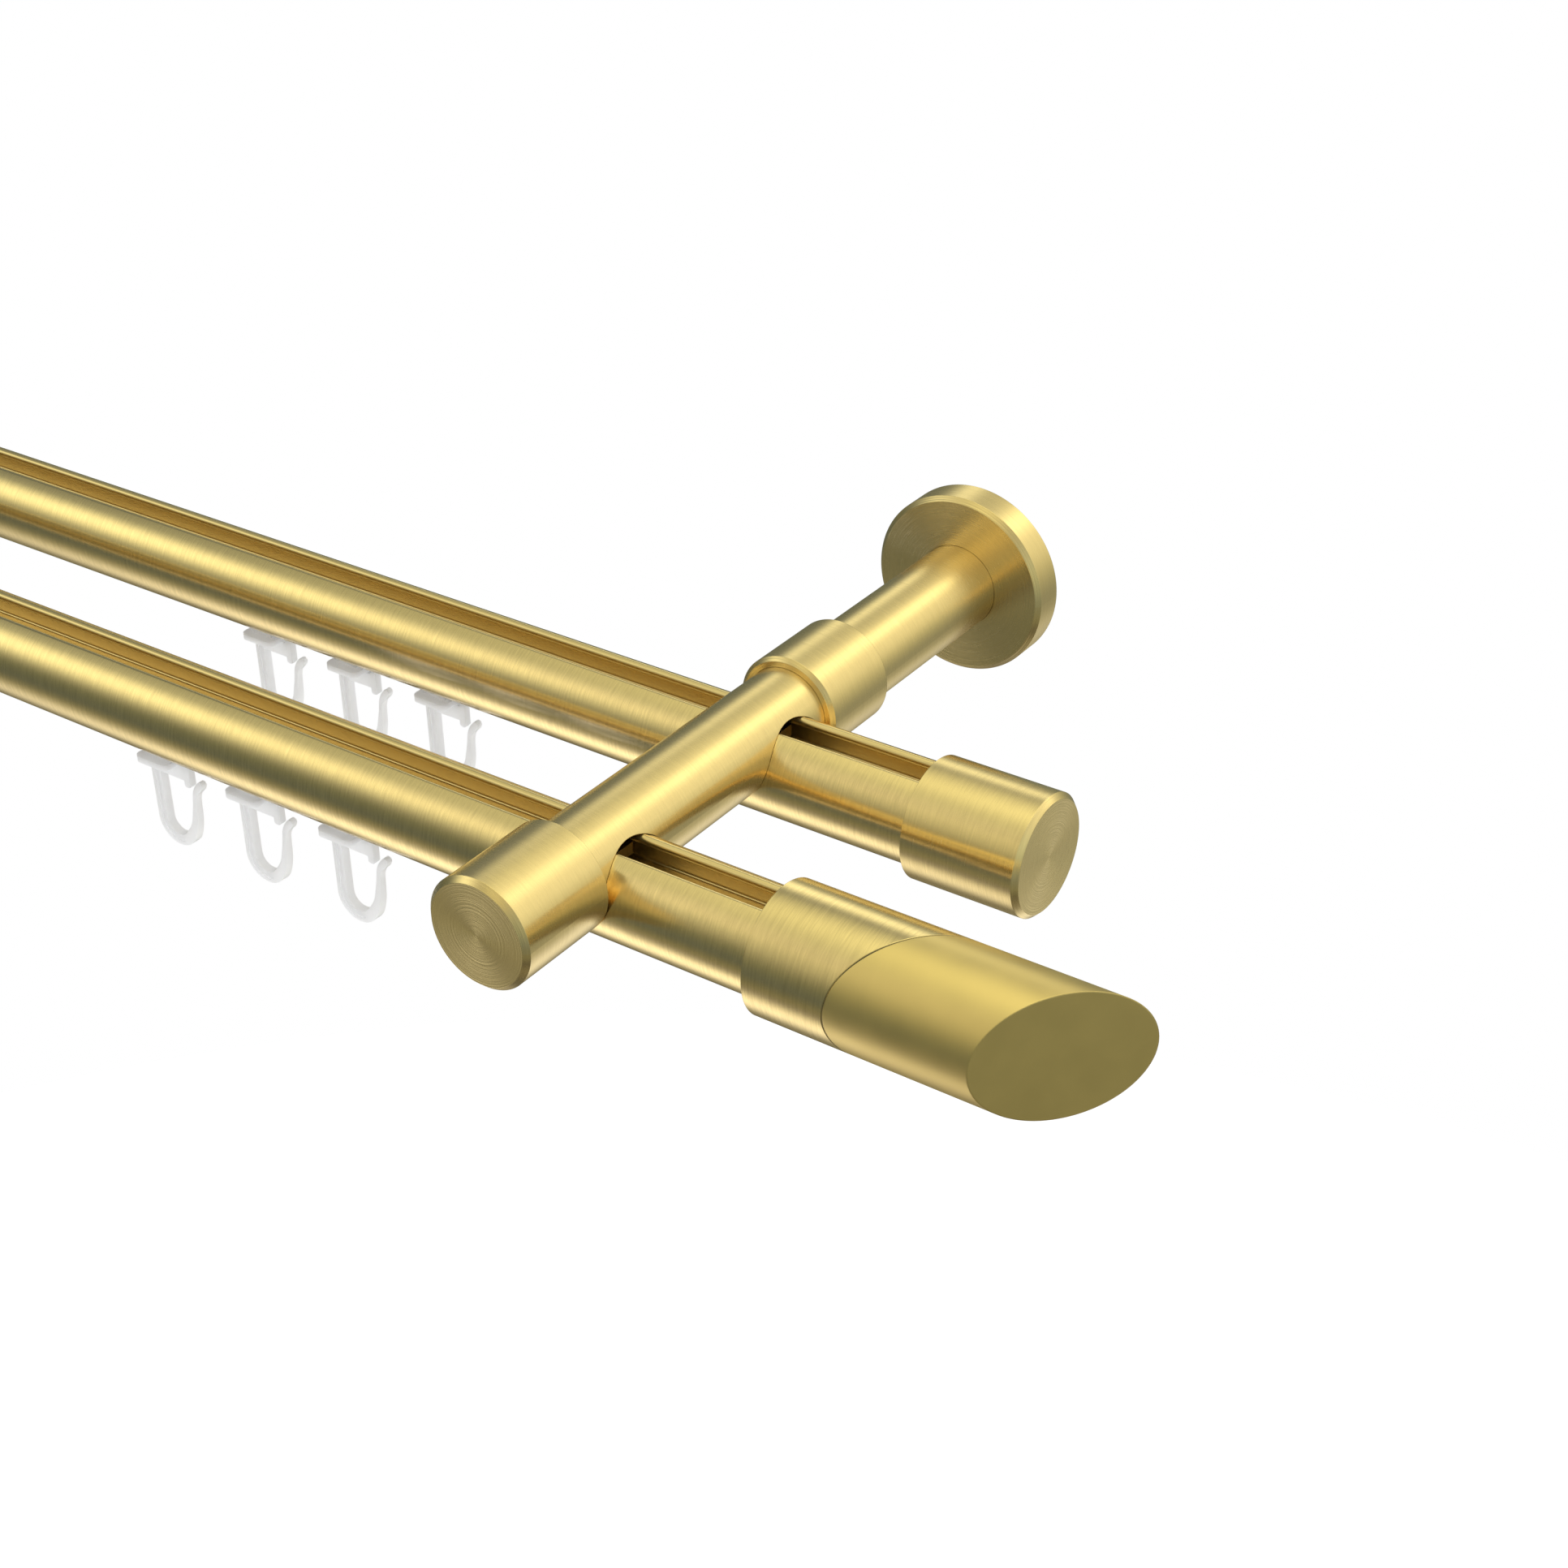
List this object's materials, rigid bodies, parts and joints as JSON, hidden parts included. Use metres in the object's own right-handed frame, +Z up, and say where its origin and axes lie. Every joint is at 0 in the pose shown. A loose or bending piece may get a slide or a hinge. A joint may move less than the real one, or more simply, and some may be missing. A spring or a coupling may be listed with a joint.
{
  "type": "curtain rod",
  "caption": "Double curtain rod on two wall brackets: slotted round rails with hooked gliders inside, turned end caps and slant-cut finials.",
  "frame": {"origin": "on the wall, at the centre of the four wall screw holes, level with the axes of the bracket arms", "axes": "+X along the rails, to the right as seen from the room; +Y into the wall; +Z up"},
  "size_m": [1.1104, 0.1625, 0.0577],
  "materials": {
    "rail": "brushed, brass-coloured",
    "turned": "turned and fine brushed, brass-coloured",
    "finial_tip": "satin, brass-coloured",
    "steel": "zinc plated",
    "bolt": "blackened",
    "glider": "milky, slightly translucent"
  },
  "bodies": {
    "rod": {"front_rail": "rail", "rear_rail": "rail", "right_wall_plate": "steel", "right_rosette": "turned", "right_rosette_screw": "steel", "right_stand_off_tube": "turned", "right_collar": "turned", "right_collar_screws": "steel", "right_arm": "turned", "right_arm_cap": "turned", "right_front_rail_bolt": "bolt", "right_rear_rail_bolt": "bolt", "right_end_cap": "turned", "right_end_cap_screw": "steel", "right_finial_base": "turned", "right_finial_tip": "finial_tip", "right_finial_screw": "steel", "left_wall_plate": "steel", "left_rosette": "turned", "left_rosette_screw": "steel", "left_stand_off_tube": "turned", "left_collar": "turned", "left_collar_screws": "steel", "left_arm": "turned", "left_arm_cap": "turned", "left_front_rail_bolt": "bolt", "left_rear_rail_bolt": "bolt", "left_end_cap": "turned", "left_end_cap_screw": "steel", "left_finial_base": "turned", "left_finial_tip": "finial_tip", "left_finial_screw": "steel"},
    "right_front_glider_1": {"right_front_glider_1": "glider"},
    "right_front_glider_2": {"right_front_glider_2": "glider"},
    "right_front_glider_3": {"right_front_glider_3": "glider"},
    "right_rear_glider_1": {"right_rear_glider_1": "glider"},
    "right_rear_glider_2": {"right_rear_glider_2": "glider"},
    "right_rear_glider_3": {"right_rear_glider_3": "glider"},
    "left_front_glider_1": {"left_front_glider_1": "glider"},
    "left_front_glider_2": {"left_front_glider_2": "glider"},
    "left_front_glider_3": {"left_front_glider_3": "glider"},
    "left_rear_glider_1": {"left_rear_glider_1": "glider"},
    "left_rear_glider_2": {"left_rear_glider_2": "glider"},
    "left_rear_glider_3": {"left_rear_glider_3": "glider"}
  },
  "joints": [
    {"name": "right_front_glider_1_slide", "type": "slide", "parent": "rod", "child": "right_front_glider_1", "axis": [1, 0, 0], "range_m": [-0.005, 0.0945]},
    {"name": "right_front_glider_2_slide", "type": "slide", "parent": "rod", "child": "right_front_glider_2", "axis": [1, 0, 0], "range_m": [-0.005, 0.005]},
    {"name": "right_front_glider_3_slide", "type": "slide", "parent": "rod", "child": "right_front_glider_3", "axis": [1, 0, 0], "range_m": [-0.3325, 0.005]},
    {"name": "right_rear_glider_1_slide", "type": "slide", "parent": "rod", "child": "right_rear_glider_1", "axis": [1, 0, 0], "range_m": [-0.005, 0.1138]},
    {"name": "right_rear_glider_2_slide", "type": "slide", "parent": "rod", "child": "right_rear_glider_2", "axis": [1, 0, 0], "range_m": [-0.005, 0.005]},
    {"name": "right_rear_glider_3_slide", "type": "slide", "parent": "rod", "child": "right_rear_glider_3", "axis": [1, 0, 0], "range_m": [-0.3128, 0.005]},
    {"name": "left_front_glider_1_slide", "type": "slide", "parent": "rod", "child": "left_front_glider_1", "axis": [1, 0, 0], "range_m": [-0.0945, 0.005]},
    {"name": "left_front_glider_2_slide", "type": "slide", "parent": "rod", "child": "left_front_glider_2", "axis": [1, 0, 0], "range_m": [-0.005, 0.005]},
    {"name": "left_front_glider_3_slide", "type": "slide", "parent": "rod", "child": "left_front_glider_3", "axis": [1, 0, 0], "range_m": [-0.005, 0.3325]},
    {"name": "left_rear_glider_1_slide", "type": "slide", "parent": "rod", "child": "left_rear_glider_1", "axis": [1, 0, 0], "range_m": [-0.1138, 0.005]},
    {"name": "left_rear_glider_2_slide", "type": "slide", "parent": "rod", "child": "left_rear_glider_2", "axis": [1, 0, 0], "range_m": [-0.005, 0.005]},
    {"name": "left_rear_glider_3_slide", "type": "slide", "parent": "rod", "child": "left_rear_glider_3", "axis": [1, 0, 0], "range_m": [-0.005, 0.3128]}
  ]
}
